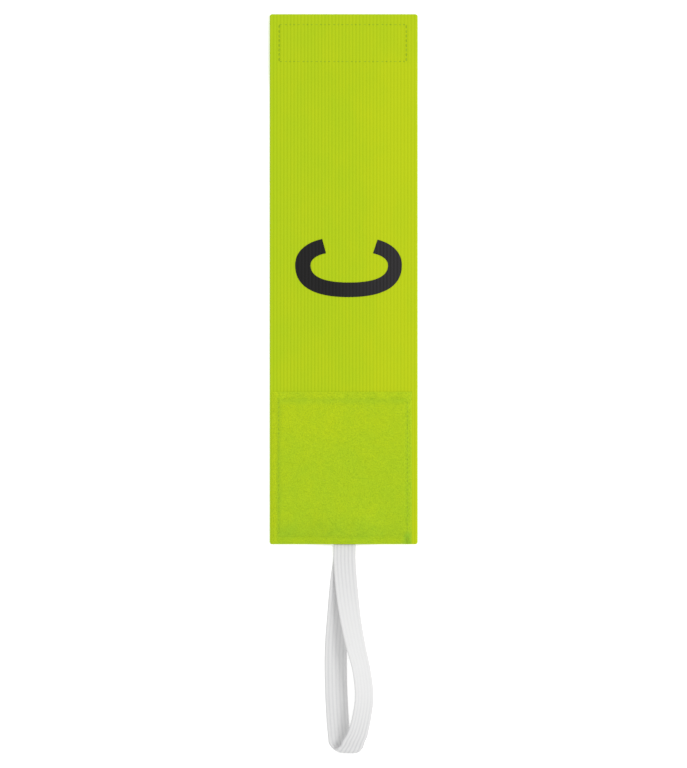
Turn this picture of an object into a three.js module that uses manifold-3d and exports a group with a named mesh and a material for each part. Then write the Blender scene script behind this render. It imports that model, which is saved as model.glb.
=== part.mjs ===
// A captain's armband lying open and face up. A wide ribbed elastic band carries hook tape behind one end,
// a loop-pile patch on the face of the other end and a printed captain's letter between them.
// A narrow white elastic is folded into a loop, with both ends sewn behind the patch end.
// Millimetres: X runs across the band, +Y towards the hook tape end, +Z up from the surface it lies on.
// The origin is on that surface, under the middle of the whole length.
import * as THREE from "three";
import { mergeVertices } from "three/addons/utils/BufferGeometryUtils.js";
import Module from "manifold-3d";

const { clamp, degToRad, lerp, smoothstep } = THREE.MathUtils;

// Ribbed elastic band: the ribs stand on the web and run along the band
const BAND_WIDTH = 80;
const BAND_LENGTH = 286.6;
const WEB_THICKNESS = 1.1;
const RIB_HEIGHT = 0.35;
const RIB_PITCH = 1.86;
const BAND_CORNER_RADIUS = 1.6;

// Free height between two layers of cloth, and how far a layer takes to come down over what lies under it
const LAYER_GAP = 0.1;
const DRAPE_LENGTH = 16;
const DRAPE_FACETS = 6;

// Hook tape behind the +Y end, measured from that end
const HOOK_TAPE_WIDTH = 75;
const HOOK_TAPE_LENGTH = 25;
const HOOK_TAPE_THICKNESS = 1.5;
const HOOK_TAPE_INSET = 2.9;
const HOOK_TAPE_SHIFT = -0.6;

// Loop-pile patch on the face at the -Y end, with a seam pressed into it all round
const PATCH_WIDTH = 75.8;
const PATCH_LENGTH = 81.6;
const PATCH_THICKNESS = 1.6;
const PATCH_INSET = 0.9;
const PATCH_SHIFT = -1;
const SEAM_FROM_SIDE = 3.1;
const SEAM_FROM_END = 4.65;
const SEAM_DEPTH = 0.5;
const SEAM_HALF_WIDTH = 1.1;

// Narrow elastic: its flat section, the length of each end sewn behind the band, and where it leaves the band
const ELASTIC_WIDTH = 12;
const ELASTIC_THICKNESS = 1.1;
const ELASTIC_TAIL = 11;
const ELASTIC_SHIFT = 0.5;

// The loop it lies in: its reach below the band, how far its upper leg swings to +X, the height of the middle
// of that leg over the surface, and the radius of the turn at the far end
const LOOP_DROP = 112.9;
const LOOP_SWING = 10.7;
const LOOP_HEIGHT = 13;
const LOOP_TURN_RADIUS = 3.2;

// Captain's letter: a plain C lying on its back, with its open side towards +Y. The counter is the hollow that
// the stroke goes round, and a horn's fullness is the power that fills out its ellipse where it is under 1.
const LETTER_FROM_END = 135.8;
const LETTER_SHIFT = 2.6;
const LETTER_STROKE = 7.9;
const LETTER_THICKNESS = 0.3;
const LETTER_HALF_SPAN = 24.9;
const LETTER_COUNTER_SHIFT = 0.4;
const LETTER_BACK_DEPTH = 13.2;
const LETTER_BACK_FULLNESS = 0.66;
const LETTER_HORN_RADIUS_X = 18.9;
const LETTER_HORN_RADIUS_Y = 11.1;
const LETTER_HORN_FULLNESS = 0.91;
const LETTER_OUTER_SWEEP = { left: 71, right: 67 };
const LETTER_COUNTER_SWEEP = { left: 66, right: 65 };
const LETTER_CURVE_STEPS = 12;

// Upper leg of the loop, from the band to the turn. Drop is a share of LOOP_DROP, side of LOOP_SWING, and
// rise goes from 0 at the sewn end to 1 at LOOP_HEIGHT. Lean, in degrees, lets the +X edge down.
const UPPER_LEG = [
  { drop: 0.0, side: 0.0, rise: 0.0, lean: 0 },
  { drop: 0.08, side: 0.0, rise: 0.02, lean: 0 },
  { drop: 0.2, side: 0.09, rise: 0.16, lean: 2 },
  { drop: 0.34, side: 0.27, rise: 0.42, lean: 18 },
  { drop: 0.48, side: 0.55, rise: 0.75, lean: 28 },
  { drop: 0.6, side: 0.87, rise: 0.96, lean: 40 },
  { drop: 0.72, side: 1.01, rise: 0.99, lean: 38 },
  { drop: 0.82, side: 0.885, rise: 0.88, lean: 34 },
  { drop: 0.9, side: 0.66, rise: 0.68, lean: 25 },
  { drop: 0.94, side: 0.465, rise: 0.57, lean: 12 },
];

// Lower leg of the loop, from the turn back to the band, flat on the surface
const LOWER_LEG = [
  { drop: 0.94, side: -0.19 },
  { drop: 0.89, side: -0.26 },
  { drop: 0.8, side: -0.34 },
  { drop: 0.66, side: -0.4 },
  { drop: 0.5, side: -0.39 },
  { drop: 0.34, side: -0.27 },
  { drop: 0.18, side: -0.13 },
  { drop: 0.07, side: 0.0 },
  { drop: 0.0, side: 0.0 },
];

// The turn: where it leaves the upper leg and meets the lower one, as shares of LOOP_SWING, the lean that it
// starts with, and the share of the turn over which it comes level
const TURN_SIDE = { upper: 0.35, lower: -0.12 };
const TURN_LEAN = 6;
const TURN_LEVEL_BY = 0.33;
const TURN_FACETS = 6;
const STEPS_PER_ROW = 2;

const WHOLE_LENGTH = BAND_LENGTH + LOOP_DROP;
const HOOK_END_Y = WHOLE_LENGTH / 2;
const LOOP_END_Y = HOOK_END_Y - BAND_LENGTH;
const BAND_THICKNESS = WEB_THICKNESS + RIB_HEIGHT;
const TAIL_STACK = 2 * ELASTIC_THICKNESS + 2 * LAYER_GAP;
const TAIL_HALF_WIDTH = ELASTIC_WIDTH / 2 + LAYER_GAP;
const HOOK_TAPE_LIFT = HOOK_TAPE_THICKNESS + LAYER_GAP;
const HOOK_TAPE_REACH = HOOK_TAPE_INSET + HOOK_TAPE_LENGTH;

// Shares of the drape, from what lies under the cloth to where the cloth is down again
const DRAPE_SHARES = Array.from({ length: DRAPE_FACETS + 1 }, (_, k) => k / DRAPE_FACETS);

// A smooth fall from 1 to 0 in straight facets, so that layers with different grids keep the same surface
function drapeFall(share) {
  const place = clamp(share, 0, 1) * DRAPE_FACETS;
  const first = Math.min(Math.floor(place), DRAPE_FACETS - 1);
  const fallAt = (k) => 1 - smoothstep(k / DRAPE_FACETS, 0, 1);
  return lerp(fallAt(first), fallAt(first + 1), place - first);
}

// Height of the band's underside: it rides over the hook tape and, at the other end, over the elastic's tails
function lift(x, y) {
  const pastTape = (HOOK_END_Y - HOOK_TAPE_REACH - y) / DRAPE_LENGTH;
  const besideTails = (Math.abs(x - ELASTIC_SHIFT) - TAIL_HALF_WIDTH) / DRAPE_LENGTH;
  const pastTails = (y - LOOP_END_Y - ELASTIC_TAIL) / DRAPE_LENGTH;
  const overTails = TAIL_STACK * drapeFall(besideTails) * drapeFall(pastTails);
  return HOOK_TAPE_LIFT * drapeFall(pastTape) + overTails;
}

const sorted = (values) => [...new Set(values)].sort((a, b) => a - b);
const between = (values, low, high) => sorted([low, ...values.filter((v) => v > low && v < high), high]);

// Grid lines that the drape needs, across the band and along it
const DRAPE_COLUMNS = DRAPE_SHARES.flatMap((share) => [
  ELASTIC_SHIFT - TAIL_HALF_WIDTH - share * DRAPE_LENGTH,
  ELASTIC_SHIFT + TAIL_HALF_WIDTH + share * DRAPE_LENGTH,
]);
const DRAPE_STATIONS = DRAPE_SHARES.flatMap((share) => [
  LOOP_END_Y + ELASTIC_TAIL + share * DRAPE_LENGTH,
  HOOK_END_Y - HOOK_TAPE_REACH - share * DRAPE_LENGTH,
]);

function geometryOf(triangles) {
  const positions = triangles.flatMap((p) => [p.x, p.y, p.z]);
  const loose = new THREE.BufferGeometry();
  loose.setAttribute("position", new THREE.Float32BufferAttribute(positions, 3));
  const merged = mergeVertices(loose, 1e-4);
  merged.computeVertexNormals();
  return merged;
}

// A sheet of cloth as a closed solid: two surfaces over grids that share their stations, and walls between
function clothSheet({ topColumns, bottomColumns, stations, top, bottom }) {
  const triangles = [];
  const addQuad = (a, b, c, d) => triangles.push(a, b, c, a, c, d);
  const topAt = (x, y) => new THREE.Vector3(x, y, top(x, y));
  const bottomAt = (x, y) => new THREE.Vector3(x, y, bottom(x, y));
  const [left, right] = [topColumns[0], topColumns.at(-1)];

  for (let j = 0; j + 1 < stations.length; j++) {
    const [near, far] = [stations[j], stations[j + 1]];
    for (let i = 0; i + 1 < topColumns.length; i++) {
      const [a, b] = [topColumns[i], topColumns[i + 1]];
      addQuad(topAt(a, near), topAt(b, near), topAt(b, far), topAt(a, far));
    }
    for (let i = 0; i + 1 < bottomColumns.length; i++) {
      const [a, b] = [bottomColumns[i], bottomColumns[i + 1]];
      addQuad(bottomAt(b, near), bottomAt(a, near), bottomAt(a, far), bottomAt(b, far));
    }
    addQuad(bottomAt(right, near), bottomAt(right, far), topAt(right, far), topAt(right, near));
    addQuad(bottomAt(left, far), bottomAt(left, near), topAt(left, near), topAt(left, far));
  }

  for (const [y, turned] of [[stations[0], false], [stations.at(-1), true]]) {
    const addEnd = (a, b, c) => triangles.push(a, turned ? c : b, turned ? b : c);
    let [i, j] = [0, 0];
    while (i + 1 < bottomColumns.length || j + 1 < topColumns.length) {
      const [low, high] = [bottomAt(bottomColumns[i], y), topAt(topColumns[j], y)];
      if ((bottomColumns[i + 1] ?? Infinity) <= (topColumns[j + 1] ?? Infinity)) {
        i += 1;
        addEnd(low, bottomAt(bottomColumns[i], y), high);
      } else {
        j += 1;
        addEnd(low, topAt(topColumns[j], y), high);
      }
    }
  }
  return geometryOf(triangles);
}

const wasm = await Module();
wasm.setup();

function manifoldOf(geometry) {
  const bare = geometry.clone();
  bare.deleteAttribute("normal");
  bare.deleteAttribute("uv");
  const merged = mergeVertices(bare, 1e-4);
  const mesh = new wasm.Mesh({
    numProp: 3,
    vertProperties: merged.attributes.position.array,
    triVerts: new Uint32Array(merged.index.array),
  });
  return new wasm.Manifold(mesh);
}

function geometryFromManifold(solid) {
  const { vertProperties, triVerts } = solid.getMesh();
  const geometry = new THREE.BufferGeometry();
  geometry.setAttribute("position", new THREE.BufferAttribute(vertProperties, 3));
  geometry.setIndex(new THREE.BufferAttribute(triVerts, 1));
  geometry.computeVertexNormals();
  return geometry;
}

function roundedRectangle(width, length, radius) {
  const shape = new THREE.Shape();
  const [x, y] = [width / 2 - radius, length / 2 - radius];
  shape.absarc(x, -y, radius, -Math.PI / 2, 0);
  shape.absarc(x, y, radius, 0, Math.PI / 2);
  shape.absarc(-x, y, radius, Math.PI / 2, Math.PI);
  shape.absarc(-x, -y, radius, Math.PI, 1.5 * Math.PI);
  return shape;
}

// The band: grooves between the ribs on its face, a plain underside, and small round corners
function bandGeometry() {
  const ribCount = Math.round(BAND_WIDTH / RIB_PITCH);
  const columnAt = (_, k) => (k / (2 * ribCount) - 0.5) * BAND_WIDTH;
  const ribColumns = Array.from({ length: 2 * ribCount + 1 }, columnAt);
  const crests = new Set(ribColumns.filter((_, k) => k % 2 === 1));
  const sheet = clothSheet({
    topColumns: ribColumns,
    bottomColumns: between(DRAPE_COLUMNS, -BAND_WIDTH / 2, BAND_WIDTH / 2),
    stations: between(DRAPE_STATIONS, LOOP_END_Y, HOOK_END_Y),
    top: (x, y) => lift(x, y) + (crests.has(x) ? BAND_THICKNESS : WEB_THICKNESS),
    bottom: lift,
  });
  const tallEnough = HOOK_TAPE_LIFT + TAIL_STACK + 2 * BAND_THICKNESS;
  const cutter = new THREE.ExtrudeGeometry(roundedRectangle(BAND_WIDTH, BAND_LENGTH, BAND_CORNER_RADIUS), {
    depth: 2 * tallEnough,
    bevelEnabled: false,
    curveSegments: 4,
  });
  cutter.translate(0, HOOK_END_Y - BAND_LENGTH / 2, -tallEnough);
  return geometryFromManifold(manifoldOf(sheet).intersect(manifoldOf(cutter)));
}

// The patch lies on the ribs, follows the band over the elastic's tails, and is pressed in along its seam
function patchGeometry() {
  const [left, right] = [PATCH_SHIFT - PATCH_WIDTH / 2, PATCH_SHIFT + PATCH_WIDTH / 2];
  const near = LOOP_END_Y + PATCH_INSET;
  const far = near + PATCH_LENGTH;
  const seamColumns = [left + SEAM_FROM_SIDE, right - SEAM_FROM_SIDE];
  const seamStations = [near + SEAM_FROM_END, far - SEAM_FROM_END];
  const besideSeam = (lines) => lines.flatMap((v) => [v - SEAM_HALF_WIDTH, v, v + SEAM_HALF_WIDTH]);
  const inside = (v, [low, high]) => v >= low && v <= high;
  const onSide = (x, y) => seamColumns.includes(x) && inside(y, seamStations);
  const onEnd = (x, y) => seamStations.includes(y) && inside(x, seamColumns);
  const pressedIn = (x, y) => (onSide(x, y) || onEnd(x, y) ? SEAM_DEPTH : 0);
  const seat = (x, y) => lift(x, y) + BAND_THICKNESS + LAYER_GAP;
  return clothSheet({
    topColumns: between([...DRAPE_COLUMNS, ...besideSeam(seamColumns)], left, right),
    bottomColumns: between(DRAPE_COLUMNS, left, right),
    stations: between([...DRAPE_STATIONS, ...besideSeam(seamStations)], near, far),
    top: (x, y) => seat(x, y) + PATCH_THICKNESS - pressedIn(x, y),
    bottom: seat,
  });
}

function hookTapeGeometry() {
  const tape = new THREE.BoxGeometry(HOOK_TAPE_WIDTH, HOOK_TAPE_LENGTH, HOOK_TAPE_THICKNESS);
  const middleY = HOOK_END_Y - HOOK_TAPE_INSET - HOOK_TAPE_LENGTH / 2;
  return tape.translate(HOOK_TAPE_SHIFT, middleY, HOOK_TAPE_THICKNESS / 2);
}

// The middle line of the elastic and its lean, from the upper tail round the loop to the lower tail
function elasticRows() {
  const lowerLevel = ELASTIC_THICKNESS / 2;
  const upperLevel = lowerLevel + ELASTIC_THICKNESS + LAYER_GAP;
  const turnY = LOOP_END_Y - LOOP_DROP + ELASTIC_THICKNESS / 2 + LOOP_TURN_RADIUS;
  const point = (side, y, z) => new THREE.Vector3(ELASTIC_SHIFT + side * LOOP_SWING, y, z);

  const upperTail = { at: point(0, LOOP_END_Y + ELASTIC_TAIL, upperLevel), lean: 0 };
  const upper = UPPER_LEG.map(({ drop, side, rise, lean }) => ({
    at: point(side, LOOP_END_Y - drop * LOOP_DROP, lerp(upperLevel, LOOP_HEIGHT, rise)),
    lean,
  }));
  const turn = Array.from({ length: TURN_FACETS + 1 }, (_, k) => {
    const share = k / TURN_FACETS;
    const angle = share * Math.PI;
    const side = lerp(TURN_SIDE.upper, TURN_SIDE.lower, share);
    const z = lowerLevel + LOOP_TURN_RADIUS * (1 + Math.cos(angle));
    const at = point(side, turnY - LOOP_TURN_RADIUS * Math.sin(angle), z);
    return { at, lean: TURN_LEAN * Math.max(0, 1 - share / TURN_LEVEL_BY) };
  });
  const lower = LOWER_LEG.map(({ drop, side }) => ({
    at: point(side, LOOP_END_Y - drop * LOOP_DROP, lowerLevel),
    lean: 0,
  }));
  const lowerTail = { at: point(0, LOOP_END_Y + ELASTIC_TAIL, lowerLevel), lean: 0 };
  return [upperTail, ...upper, ...turn, ...lower, lowerTail];
}

// A flat strip swept along a smooth curve through those rows, and never below the surface. Its sections run
// straight across the band where it crosses over slantwise, so that it turns as if round a rod.
function elasticGeometry() {
  const rows = elasticRows();
  const curve = new THREE.CatmullRomCurve3(rows.map((row) => row.at), false, "centripetal");
  const count = (rows.length - 1) * STEPS_PER_ROW;
  const acrossBand = new THREE.Vector3(1, 0, 0);
  const sections = Array.from({ length: count + 1 }, (_, k) => {
    const along = k / count;
    const row = Math.min(Math.floor(along * (rows.length - 1)), rows.length - 2);
    const lean = degToRad(lerp(rows[row].lean, rows[row + 1].lean, along * (rows.length - 1) - row));
    const middle = curve.getPoint(along);
    middle.z = Math.max(middle.z, ELASTIC_THICKNESS / 2);
    const tangent = curve.getTangent(along);
    const slant = acrossBand.dot(tangent);
    const level = acrossBand.clone().addScaledVector(tangent, -slant);
    const squareness = level.length();
    level.normalize();
    const outwards = new THREE.Vector3().crossVectors(tangent, level);
    const across = level.clone().multiplyScalar(Math.cos(lean)).addScaledVector(outwards, -Math.sin(lean));
    const normal = outwards.clone().multiplyScalar(Math.cos(lean)).addScaledVector(level, Math.sin(lean));
    across.addScaledVector(tangent, slant / squareness);
    across.multiplyScalar(ELASTIC_WIDTH / 2);
    normal.multiplyScalar(ELASTIC_THICKNESS / 2);
    const corner = (u, v) => middle.clone().addScaledVector(across, u).addScaledVector(normal, v);
    return [corner(-1, -1), corner(-1, 1), corner(1, 1), corner(1, -1)];
  });

  const triangles = [];
  const addQuad = (a, b, c, d) => triangles.push(a, b, c, a, c, d);
  for (let k = 0; k < count; k++) {
    const [here, next] = [sections[k], sections[k + 1]];
    here.forEach((_, i) => addQuad(here[i], next[i], next[(i + 1) % 4], here[(i + 1) % 4]));
  }
  addQuad(...sections[0]);
  addQuad(...sections[count].toReversed());
  return geometryOf(triangles);
}

// The letter is one stroke: a full round back and two shorter horns that leave its side open.
// LETTER_BACK_FULLNESS is the back's handle length as a share of its half axes, 0.55 being a plain oval.
function letterGeometry() {
  const hornCentre = LETTER_HALF_SPAN - LETTER_HORN_RADIUS_X;
  const filledOut = (v) => Math.sign(v) * Math.abs(v) ** LETTER_HORN_FULLNESS;
  const hornPoints = (side, grow, sweep) =>
    Array.from({ length: LETTER_CURVE_STEPS + 1 }, (_, k) => {
      const angle = degToRad((sweep * k) / LETTER_CURVE_STEPS);
      const out = hornCentre + (LETTER_HORN_RADIUS_X + grow) * filledOut(Math.cos(angle));
      return new THREE.Vector2(side * out, (LETTER_HORN_RADIUS_Y + grow) * filledOut(Math.sin(angle)));
    });
  const edge = (grow, sweep) => {
    const [x, y] = [LETTER_HALF_SPAN + grow, LETTER_BACK_DEPTH + grow];
    const [handleX, handleY] = [x * LETTER_BACK_FULLNESS, y * LETTER_BACK_FULLNESS];
    const back = new THREE.Path();
    back.moveTo(-x, 0);
    back.bezierCurveTo(-x, -handleY, -handleX, -y, 0, -y);
    back.bezierCurveTo(handleX, -y, x, -handleY, x, 0);
    return [
      ...hornPoints(-1, grow, sweep.left).reverse(),
      ...back.getPoints(LETTER_CURVE_STEPS).slice(1, -1),
      ...hornPoints(1, grow, sweep.right),
    ];
  };
  const outer = edge(LETTER_STROKE / 2, LETTER_OUTER_SWEEP);
  const counter = edge(-LETTER_STROKE / 2, LETTER_COUNTER_SWEEP);
  counter.forEach((p) => p.setX(p.x + LETTER_COUNTER_SHIFT));
  const shape = new THREE.Shape([...outer, ...counter.reverse()]);
  const letter = new THREE.ExtrudeGeometry(shape, { depth: LETTER_THICKNESS, bevelEnabled: false });
  return letter.translate(LETTER_SHIFT, HOOK_END_Y - LETTER_FROM_END, BAND_THICKNESS + LAYER_GAP);
}

function cloth(color, roughness) {
  return new THREE.MeshStandardMaterial({ color, roughness, metalness: 0 });
}

function named(name, geometry, material) {
  const mesh = new THREE.Mesh(geometry, material);
  mesh.name = name;
  return mesh;
}

const armband = new THREE.Group();
armband.name = "captain_armband";
armband.add(
  named("band", bandGeometry(), cloth(0xb6cd1f, 0.75)),
  named("loop_patch", patchGeometry(), cloth(0xacc923, 0.95)),
  named("hook_tape", hookTapeGeometry(), cloth(0xa6c124, 0.6)),
  named("elastic_loop", elasticGeometry(), cloth(0xebebeb, 0.85)),
  named("captain_letter", letterGeometry(), cloth(0x2b2a2b, 0.55)),
);

export default armband;
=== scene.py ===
# A captain's armband lying open and face up: ribbed elastic band, pile patch, hook tape, white elastic loop
# and a printed letter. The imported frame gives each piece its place, and everything below is in metres.
from math import ceil, cos, exp, pi, radians, sin, sqrt

import bmesh
import bpy
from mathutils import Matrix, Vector, geometry, noise


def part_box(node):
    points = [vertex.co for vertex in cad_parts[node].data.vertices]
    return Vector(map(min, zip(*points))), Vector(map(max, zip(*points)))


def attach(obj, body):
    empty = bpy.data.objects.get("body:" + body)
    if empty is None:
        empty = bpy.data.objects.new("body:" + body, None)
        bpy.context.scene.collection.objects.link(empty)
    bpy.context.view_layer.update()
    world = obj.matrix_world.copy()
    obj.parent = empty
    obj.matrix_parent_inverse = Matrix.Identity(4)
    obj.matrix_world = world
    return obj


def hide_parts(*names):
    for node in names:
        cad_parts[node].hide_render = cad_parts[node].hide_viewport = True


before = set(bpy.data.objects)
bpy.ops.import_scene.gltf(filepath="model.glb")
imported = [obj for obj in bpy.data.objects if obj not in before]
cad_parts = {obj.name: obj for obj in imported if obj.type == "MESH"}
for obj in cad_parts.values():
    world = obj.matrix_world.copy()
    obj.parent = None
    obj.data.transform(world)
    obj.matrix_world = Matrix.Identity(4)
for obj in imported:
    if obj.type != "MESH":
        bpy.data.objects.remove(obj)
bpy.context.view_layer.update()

MM = 0.001


# The view: straight down on the armband where it lies, from so far off that it looks flat. The band's width
# on the picture sets the scale, and the armband's middle lies a fraction of a pixel off the picture's.
PICTURE_WIDTH = 687
PICTURE_HEIGHT = 768
BAND_WIDTH_ON_PICTURE = 147.8
MIDDLE_COLUMN_ON_PICTURE = 343.7
MIDDLE_ROW_ON_PICTURE = 383.65
CAMERA_LENS = 200

band_low, band_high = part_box("band")
band_width = band_high.x - band_low.x
metres_per_pixel = band_width / BAND_WIDTH_ON_PICTURE

camera_data = bpy.data.cameras.new("camera")
camera_data.lens = CAMERA_LENS
camera_data.clip_end = 20
camera = bpy.data.objects.new("camera", camera_data)
bpy.context.scene.collection.objects.link(camera)
bpy.context.scene.camera = camera
camera_height = PICTURE_HEIGHT * metres_per_pixel * CAMERA_LENS / camera_data.sensor_width
camera.location = (
    (PICTURE_WIDTH / 2 - MIDDLE_COLUMN_ON_PICTURE) * metres_per_pixel,
    (MIDDLE_ROW_ON_PICTURE - PICTURE_HEIGHT / 2) * metres_per_pixel,
    camera_height,
)
bpy.context.scene.view_settings.view_transform = "Standard"


# The light: a white studio that lights from everywhere, and one soft panel above the +X side, whose shadow of
# the loop's upper leg falls on its lower leg.
STUDIO_STRENGTH = 0.84
PANEL_PLACE = (0.75, 0.3, 1.5)
PANEL_SIZE = 0.4
PANEL_POWER = 9.1

world = bpy.data.worlds.new("studio")
world.use_nodes = True
world.node_tree.nodes["Background"].inputs["Color"].default_value = (1, 1, 1, 1)
world.node_tree.nodes["Background"].inputs["Strength"].default_value = STUDIO_STRENGTH
bpy.context.scene.world = world

panel_data = bpy.data.lights.new("panel", "AREA")
panel_data.size = PANEL_SIZE
panel_data.energy = PANEL_POWER
panel = bpy.data.objects.new("panel", panel_data)
panel.location = PANEL_PLACE
panel.rotation_euler = (Vector(PANEL_PLACE)).to_track_quat("Z", "Y").to_euler()
panel.visible_camera = False
bpy.context.scene.collection.objects.link(panel)


# The floor is matt white paper over a light table, so that shadows on it stay faint. It is no part of the
# armband.
FLOOR_HALF = 3.0
TABLE_GLOW = 0.3


def linear(hex_colour):
    """The linear colour of an sRGB hex value, with full alpha."""
    channels = [int(hex_colour[i : i + 2], 16) / 255 for i in (1, 3, 5)]
    return tuple(c / 12.92 if c <= 0.04045 else ((c + 0.055) / 1.055) ** 2.4 for c in channels) + (1,)


def add_node(tree, kind, inputs=(), **settings):
    """Adds a node, sets its properties, and fills its inputs, by name or number, with values or links.

    A node given as a value stands for its first output.
    """
    node = tree.nodes.new(kind)
    for name, value in settings.items():
        setattr(node, name, value)
    for key, value in dict(inputs).items():
        if isinstance(value, bpy.types.Node):
            value = value.outputs[0]
        if isinstance(value, bpy.types.NodeSocket):
            tree.links.new(value, node.inputs[key])
        else:
            node.inputs[key].default_value = value
    return node


def new_material(name, roughness, specular):
    """A material with its shader, whose gloss is the same all over."""
    material = bpy.data.materials.new(name)
    material.use_nodes = True
    shader = material.node_tree.nodes["Principled BSDF"]
    shader.inputs["Roughness"].default_value = roughness
    shader.inputs["Specular IOR Level"].default_value = specular
    return material, material.node_tree, shader


def link_surface(tree, shader, colour, bump):
    """Gives the shader its colour and its bump."""
    tree.links.new(colour, shader.inputs["Base Color"])
    tree.links.new(bump.outputs["Normal"], shader.inputs["Normal"])


def new_piece(name, vertices, edges=(), faces=()):
    """An object at the origin with its place in its mesh."""
    mesh = bpy.data.meshes.new(name)
    mesh.from_pydata(vertices, edges, faces)
    piece = bpy.data.objects.new(name, mesh)
    bpy.context.scene.collection.objects.link(piece)
    return piece


def white_paper():
    material, tree, shader = new_material("matt_white_paper", 0.9, 0.2)
    shader.inputs["Base Color"].default_value = linear("#f9f9f8")
    shader.inputs["Emission Color"].default_value = (1, 1, 1, 1)
    shader.inputs["Emission Strength"].default_value = TABLE_GLOW
    place = add_node(tree, "ShaderNodeTexCoord").outputs["Object"]
    grain = add_node(tree, "ShaderNodeTexNoise", {"Vector": place, "Scale": 1 / (4 * MM), "Detail": 3})
    bump = add_node(tree, "ShaderNodeBump", {"Height": grain, "Strength": 0.1, "Distance": 0.05 * MM})
    tree.links.new(bump.outputs["Normal"], shader.inputs["Normal"])
    return material


floor_corners = [(-FLOOR_HALF, -FLOOR_HALF, 0), (FLOOR_HALF, -FLOOR_HALF, 0), (FLOOR_HALF, FLOOR_HALF, 0)]
floor_corners.append((-FLOOR_HALF, FLOOR_HALF, 0))
floor = new_piece("floor", floor_corners, faces=[(0, 1, 2, 3)])
floor.data.materials.append(white_paper())


# Drape: each layer of cloth is made flat, and is then let down over what lies under it. The hook tape lifts
# the +Y end of the band, and the two sewn tails of the white elastic lift the middle of its -Y end.
LAYER_GAP = 0.1 * MM
DRAPE_LENGTH = 16 * MM
ELASTIC_THICKNESS = 1.1 * MM
ELASTIC_WIDTH = 12 * MM
ELASTIC_MIDDLE = 0.5 * MM

tape_low, tape_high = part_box("hook_tape")
loop_low, loop_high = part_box("elastic_loop")


def new_tree(name, sizes):
    """A tree of geometry nodes with an input for each named size, and its inputs by name."""
    tree = bpy.data.node_groups.new(name, "GeometryNodeTree")
    tree.interface.new_socket(name="Geometry", in_out="OUTPUT", socket_type="NodeSocketGeometry")
    tree.interface.new_socket(name="Geometry", in_out="INPUT", socket_type="NodeSocketGeometry")
    tree.interface.new_socket(name="Material", in_out="INPUT", socket_type="NodeSocketMaterial")
    for size in sizes:
        tree.interface.new_socket(name=size, in_out="INPUT", socket_type="NodeSocketFloat")
    return tree, tree.nodes.new("NodeGroupInput").outputs


def end_tree(tree, shape, given):
    """Makes the shape real, gives it its material and hands it on."""
    real = add_node(tree, "GeometryNodeRealizeInstances", {"Geometry": shape})
    dressed = add_node(tree, "GeometryNodeSetMaterial", {"Geometry": real, "Material": given["Material"]})
    tree.links.new(dressed.outputs["Geometry"], tree.nodes.new("NodeGroupOutput").inputs["Geometry"])
    return tree


def run_tree(piece, tree, sizes):
    """Runs a tree on a piece with these sizes and keeps what comes out as its plain mesh."""
    modifier = piece.modifiers.new(tree.name, "NODES")
    modifier.node_group = tree
    for item in tree.interface.items_tree:
        if item.in_out == "INPUT" and item.name in sizes:
            modifier[item.identifier] = sizes[item.name]
    graph = bpy.context.evaluated_depsgraph_get()
    made = bpy.data.meshes.new_from_object(piece.evaluated_get(graph))
    piece.modifiers.remove(modifier)
    start = piece.data
    piece.data = made
    bpy.data.meshes.remove(start)
    made.name = piece.name


def distance_from(tree, value, middle):
    """How far a value lies from a middle, to either side."""
    off = add_node(tree, "ShaderNodeMath", {0: value, 1: middle}, operation="SUBTRACT")
    return add_node(tree, "ShaderNodeMath", {0: off}, operation="ABSOLUTE")


def crests(tree, place, rate, wave):
    """Ribs side by side: 1 on the crest of each and 0 in the grooves between them."""
    turns = add_node(tree, "ShaderNodeMath", {0: place, 1: rate}, operation="MULTIPLY")
    swing = add_node(tree, "ShaderNodeMath", {0: turns}, operation=wave)
    return add_node(tree, "ShaderNodeMath", {0: swing}, operation="ABSOLUTE")


def drape_tree():
    names = ["Tape end", "Tape lift", "Tail middle", "Tail half width", "Tail end", "Tail lift", "Length"]
    tree, given = new_tree("drape", names)
    here = add_node(tree, "GeometryNodeInputPosition")
    place = add_node(tree, "ShaderNodeSeparateXYZ", {"Vector": here}).outputs
    tape_foot = add_node(
        tree, "ShaderNodeMath", {0: given["Tape end"], 1: given["Length"]}, operation="SUBTRACT"
    )
    over_tape = add_node(
        tree,
        "ShaderNodeMapRange",
        {"Value": place["Y"], 1: tape_foot, 2: given["Tape end"], 3: 0.0, 4: given["Tape lift"]},
        interpolation_type="SMOOTHSTEP",
    )
    beside = distance_from(tree, place["X"], given["Tail middle"])
    side_foot = add_node(
        tree, "ShaderNodeMath", {0: given["Tail half width"], 1: given["Length"]}, operation="ADD"
    )
    sideways = add_node(
        tree,
        "ShaderNodeMapRange",
        {"Value": beside, 1: given["Tail half width"], 2: side_foot, 3: given["Tail lift"], 4: 0.0},
        interpolation_type="SMOOTHSTEP",
    )
    tail_foot = add_node(tree, "ShaderNodeMath", {0: given["Tail end"], 1: given["Length"]}, operation="ADD")
    lengthways = add_node(
        tree,
        "ShaderNodeMapRange",
        {"Value": place["Y"], 1: given["Tail end"], 2: tail_foot, 3: 1.0, 4: 0.0},
        interpolation_type="SMOOTHSTEP",
    )
    lift = add_node(
        tree, "ShaderNodeMath", {0: sideways, 1: lengthways, 2: over_tape}, operation="MULTIPLY_ADD"
    )
    up = add_node(tree, "ShaderNodeCombineXYZ", {"Z": lift})
    draped = add_node(tree, "GeometryNodeSetPosition", {"Geometry": given["Geometry"], "Offset": up})
    return end_tree(tree, draped, given)


DRAPE = drape_tree()
DRAPE_SIZES = {
    "Tape end": tape_low.y,
    "Tape lift": tape_high.z + LAYER_GAP,
    "Tail middle": ELASTIC_MIDDLE,
    "Tail half width": ELASTIC_WIDTH / 2 + LAYER_GAP,
    "Tail end": loop_high.y,
    "Tail lift": 2 * ELASTIC_THICKNESS + 2 * LAYER_GAP,
    "Length": DRAPE_LENGTH,
}


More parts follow.
